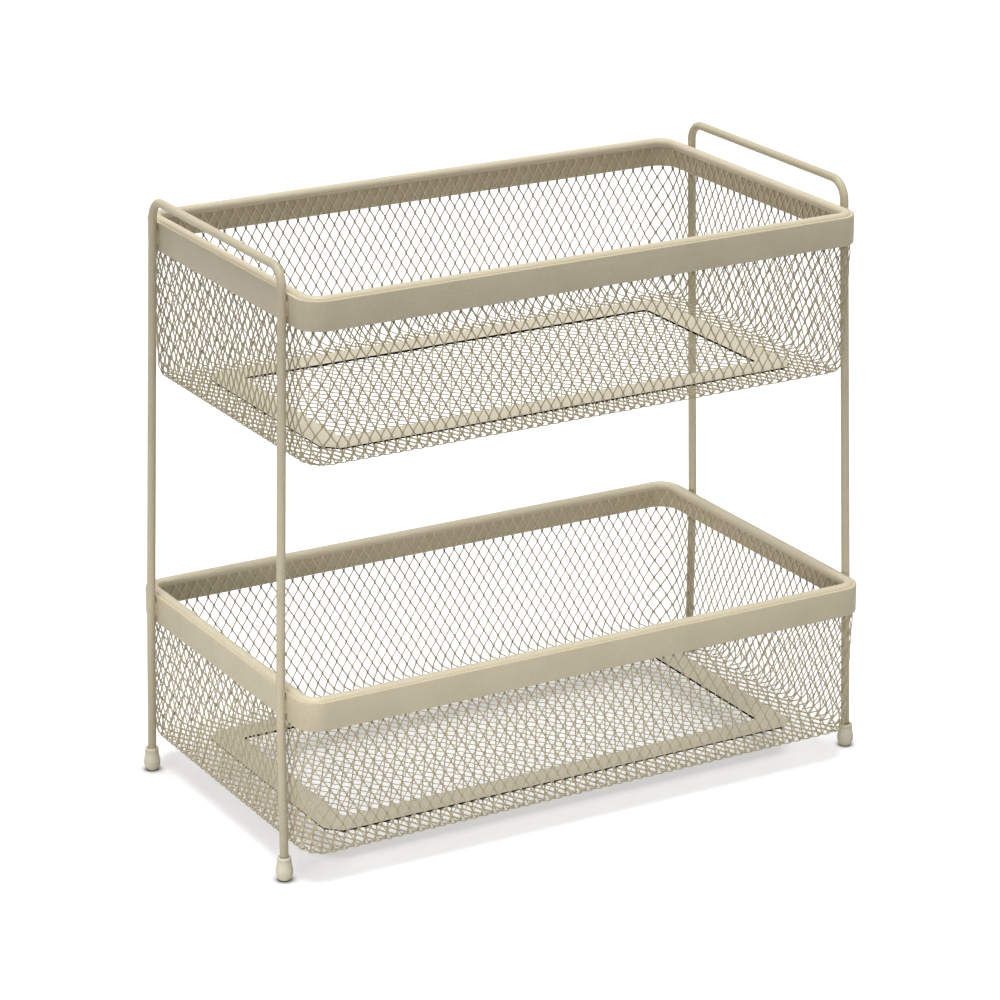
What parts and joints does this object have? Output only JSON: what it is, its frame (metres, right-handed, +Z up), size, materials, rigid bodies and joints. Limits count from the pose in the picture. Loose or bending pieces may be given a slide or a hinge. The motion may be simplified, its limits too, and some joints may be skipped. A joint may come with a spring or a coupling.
{
  "type": "tiered wire basket",
  "caption": "Two-tier table basket of powder-coated expanded metal mesh with flat rim bands, bent wire side frames that end in lifting handles, and plastic foot caps.",
  "frame": {"origin": "on the table under the middle of the basket, level with the flat undersides of the foot caps", "axes": "+Z up, +X along the length towards the right-hand handle, +Y towards the back, so the long front side faces -Y"},
  "size_m": [0.4148, 0.2334, 0.377],
  "materials": {
    "mesh_coat": "satin powder coat, beige",
    "band_coat": "satin powder coat, beige",
    "wire_coat": "satin powder coat, beige",
    "foot_plastic": "matt moulded plastic, pale beige"
  },
  "bodies": {
    "root": {"upper_mesh_basket": "mesh_coat", "upper_rim_band": "band_coat", "upper_rim_wire": "wire_coat", "upper_floor_strip": "band_coat", "lower_mesh_basket": "mesh_coat", "lower_rim_band": "band_coat", "lower_rim_wire": "wire_coat", "lower_floor_strip": "band_coat", "left_side_frame": "wire_coat", "right_side_frame": "wire_coat", "upper_rim_welds": "wire_coat", "lower_rim_welds": "wire_coat", "foot_front_left": "foot_plastic", "foot_back_left": "foot_plastic", "foot_front_right": "foot_plastic", "foot_back_right": "foot_plastic"}
  },
  "joints": []
}
